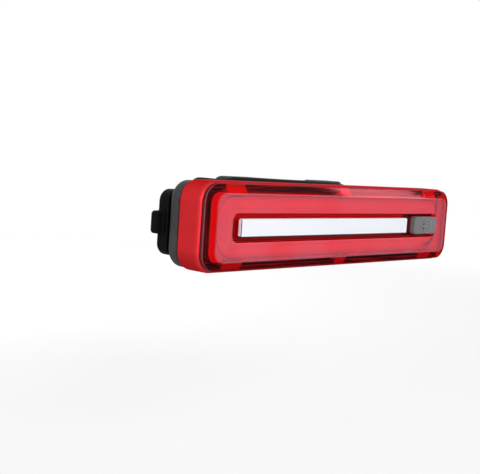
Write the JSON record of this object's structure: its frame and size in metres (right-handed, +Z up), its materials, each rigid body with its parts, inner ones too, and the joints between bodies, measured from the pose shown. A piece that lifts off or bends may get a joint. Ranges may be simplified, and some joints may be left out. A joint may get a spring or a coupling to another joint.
{
  "type": "bicycle rear light",
  "caption": "Slim bar-shaped rear light for a bicycle, with a clear red lens over a bright LED strip, a push button at one end, and a swivelling slide bracket strapped to the seat post.",
  "frame": {"origin": "on the axis of the seat post that the light is strapped to, at the height of the light's middle", "axes": "+Z up along the seat post, -Y out of the lens and away from the bicycle, +X along the light towards its button"},
  "size_m": [0.1132, 0.0505, 0.0232],
  "materials": {
    "red_lens": "clear red, glossy",
    "red_diffuser": "milky red, satin",
    "black_frame": "black, fine matt",
    "white_cover": "milky white, satin",
    "aluminium_board": "white-faced sheet",
    "phosphor": "yellow silicone",
    "brass_pin": "tinned",
    "grey_button": "grey, satin",
    "black_rubber": "black, matt",
    "black_component": "moulded black",
    "white_component": "plain white",
    "tan_component": "ceramic",
    "red_body": "red, satin",
    "dark_cover": "dark grey, fine grain",
    "steel": "plain",
    "green_board": "solder mask",
    "battery_foil": "silver foil",
    "wire_sleeve": "sleeve",
    "black_bracket": "black, fine grain"
  },
  "bodies": {
    "mount": {"saddle": "black_bracket", "saddle_pad": "black_rubber", "strap": "black_rubber", "swivel_rivet": "steel", "swivel_washer": "white_component"},
    "bracket": {"slide_plate": "black_bracket"},
    "light": {"front_lens": "red_lens", "diffuser_panel": "red_diffuser", "light_blocks": "red_diffuser", "inner_frame": "black_frame", "strip_cover": "white_cover", "cob_board": "aluminium_board", "cob_phosphor": "phosphor", "cob_leads": "brass_pin", "button_seal": "black_rubber", "switch_body": "black_component", "mid_body": "red_body", "body_gasket": "black_rubber", "back_cover": "dark_cover", "cover_screws": "steel", "main_board": "green_board", "battery_cell": "battery_foil", "battery_tape": "white_component", "battery_foam": "black_rubber", "battery_board": "green_board", "battery_wires": "wire_sleeve", "usb_shell": "steel", "usb_tongue": "black_component", "charge_chip": "black_component", "driver_chip": "black_component", "inductor": "black_component", "capacitors": "tan_component", "status_led": "white_component", "flap_anchor": "black_rubber"},
    "button": {"button_cap": "grey_button", "switch_plunger": "white_component"},
    "flap": {"port_flap": "black_rubber"}
  },
  "joints": [
    {"name": "swivel", "type": "hinge", "parent": "mount", "child": "bracket", "pos_m": [0, -0.0185, 0], "axis": [0, 1, 0], "range_deg": [-90, 90]},
    {"name": "bracket_slide", "type": "slide", "parent": "bracket", "child": "light", "axis": [-1, 0, 0], "range_m": [0, 0.034]},
    {"name": "button_press", "type": "slide", "parent": "light", "child": "button", "axis": [0, 1, 0], "range_m": [0, 0.0004], "stiffness_N_per_m": 3000, "springref_m": -0.0003},
    {"name": "flap_hinge", "type": "hinge", "parent": "light", "child": "flap", "pos_m": [-0.0427, -0.02, 0], "axis": [0, 0, -1], "range_deg": [0, 90], "stiffness_Nm_per_rad": 0.002}
  ]
}
